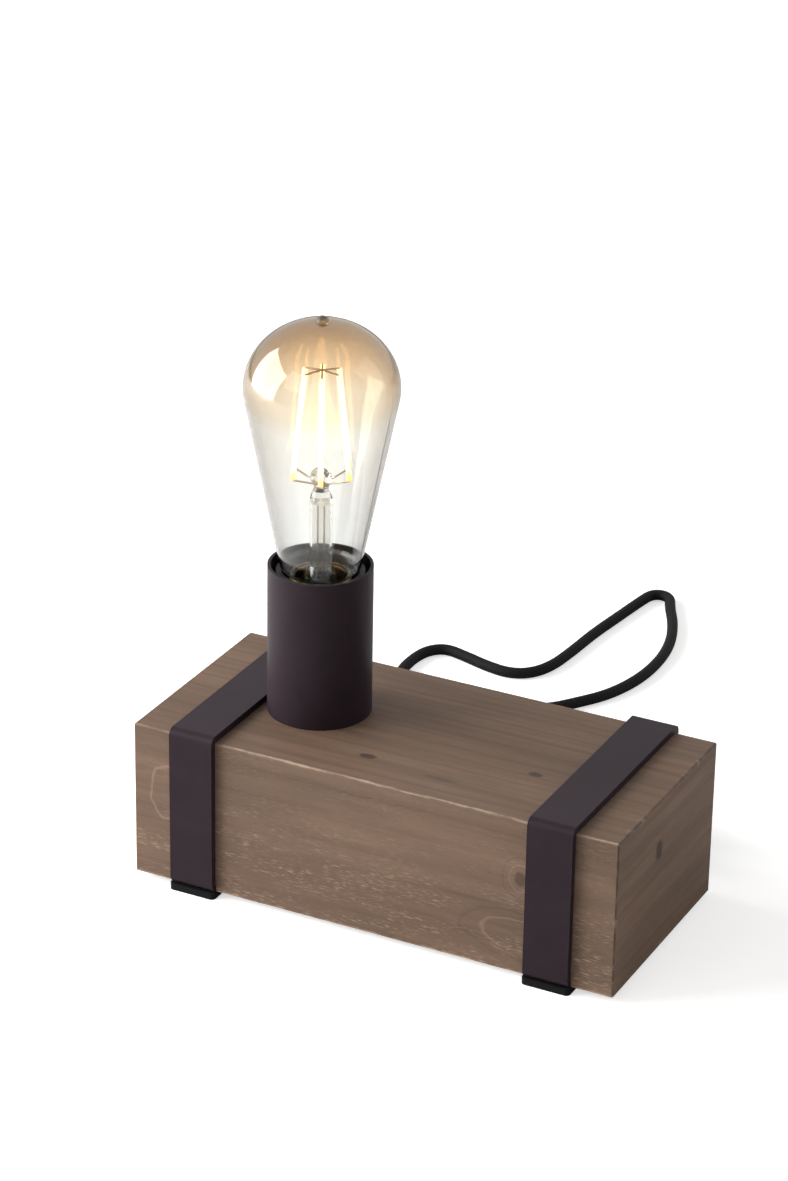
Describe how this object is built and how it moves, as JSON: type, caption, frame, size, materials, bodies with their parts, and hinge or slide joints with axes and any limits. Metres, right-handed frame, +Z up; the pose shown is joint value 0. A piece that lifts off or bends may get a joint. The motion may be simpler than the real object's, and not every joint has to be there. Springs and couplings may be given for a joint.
{
  "type": "table lamp",
  "caption": "Bare bulb table lamp: dark timber box with mitred corners under flat steel straps, tubular socket cover, screw-in filament-style bulb and a lead with switch and plug.",
  "frame": {"origin": "on the table under the middle of the timber box", "axes": "+X along the box's length, with the lamp head at -X; +Y out of the back, where the lead leaves; +Z up"},
  "size_m": [0.22, 0.3664, 0.2475],
  "materials": {
    "stained_softwood": "stained, open grain, satin",
    "plain_softwood": "planed, unfinished",
    "blackened_steel": "satin black coating",
    "zinc_plated_steel": "zinc plated",
    "black_rubber": "matt",
    "black_thermoplastic": "moulded",
    "steatite": "pressed ceramic",
    "brass": "rolled, bright",
    "solder": "dull",
    "clear_glass": "clear, faint amber tint",
    "vitrite": "black glass",
    "filament_phosphor": "silicone with phosphor",
    "nickel_wire": "drawn wire",
    "fibreglass": "solder mask",
    "natural_nylon": "moulded, translucent",
    "black_cord": "fine textile sheath",
    "brown_insulation": "extruded",
    "blue_insulation": "extruded",
    "copper": "stranded",
    "black_tie": "soft strip",
    "switch_plastic": "moulded",
    "plug_plastic": "moulded",
    "nickel_plated_brass": "plated"
  },
  "bodies": {
    "root": {"board_top": "stained_softwood", "board_front": "stained_softwood", "board_back": "stained_softwood", "board_left_end": "stained_softwood", "board_right_end": "stained_softwood", "bottom_panel": "plain_softwood", "panel_cleats": "plain_softwood", "strap_left": "blackened_steel", "strap_right": "blackened_steel", "socket_cover": "blackened_steel", "strap_screws": "zinc_plated_steel", "panel_screws": "zinc_plated_steel", "mounting_nipple": "zinc_plated_steel", "nipple_washer": "zinc_plated_steel", "nipple_nut": "zinc_plated_steel", "cover_lock_nut": "zinc_plated_steel", "holder_terminal_screws": "zinc_plated_steel", "terminal_screws": "zinc_plated_steel", "switch_screws": "zinc_plated_steel", "rocker_pivot": "zinc_plated_steel", "foot_pads": "black_rubber", "strain_relief": "black_rubber", "holder_base": "black_thermoplastic", "holder_sleeve": "black_thermoplastic", "cord_bush": "black_thermoplastic", "bush_nut": "black_thermoplastic", "holder_insert": "steatite", "holder_screw_shell": "brass", "holder_centre_contact": "brass", "holder_terminals": "brass", "terminal_barrels": "brass", "switch_contacts": "brass", "terminal_block": "natural_nylon", "cord_run": "black_cord", "cord_feed": "black_cord", "cord_coil": "black_cord", "cord_tail": "black_cord", "inner_cord": "black_cord", "wire_live": "brown_insulation", "wire_neutral": "blue_insulation", "inner_cord_cores": "copper", "cord_tie": "black_tie", "switch_lower_case": "switch_plastic", "switch_upper_case": "switch_plastic", "plug_body": "plug_plastic", "plug_pin_sleeves": "plug_plastic", "plug_pins": "nickel_plated_brass"},
    "bulb_foot": {"bulb_centre_contact": "solder"},
    "bulb": {"bulb_glass": "clear_glass", "bulb_stem": "clear_glass", "led_filaments": "filament_phosphor", "filament_supports": "nickel_wire", "bulb_leads": "nickel_wire", "driver_board": "fibreglass", "bulb_insulator": "vitrite", "bulb_cap": "brass"},
    "rocker": {"switch_rocker": "switch_plastic"}
  },
  "joints": [
    {"name": "bulb_rise", "type": "slide", "parent": "root", "child": "bulb_foot", "axis": [0, 0, 1], "range_m": [0, 0.0182]},
    {"name": "bulb_turn", "type": "hinge", "parent": "bulb_foot", "child": "bulb", "pos_m": [-0.0493, 0, 0.107], "axis": [0, 0, 1], "range_deg": [0, 1800]},
    {"name": "rocker_tilt", "type": "hinge", "parent": "root", "child": "rocker", "pos_m": [-0.028, 0.12, 0.0132], "axis": [1, 0, 0], "range_deg": [-16, 0]}
  ],
  "couplings": [
    {"joint": "bulb_rise", "follows": "bulb_turn", "m_per_rad": 0.00057757}
  ]
}
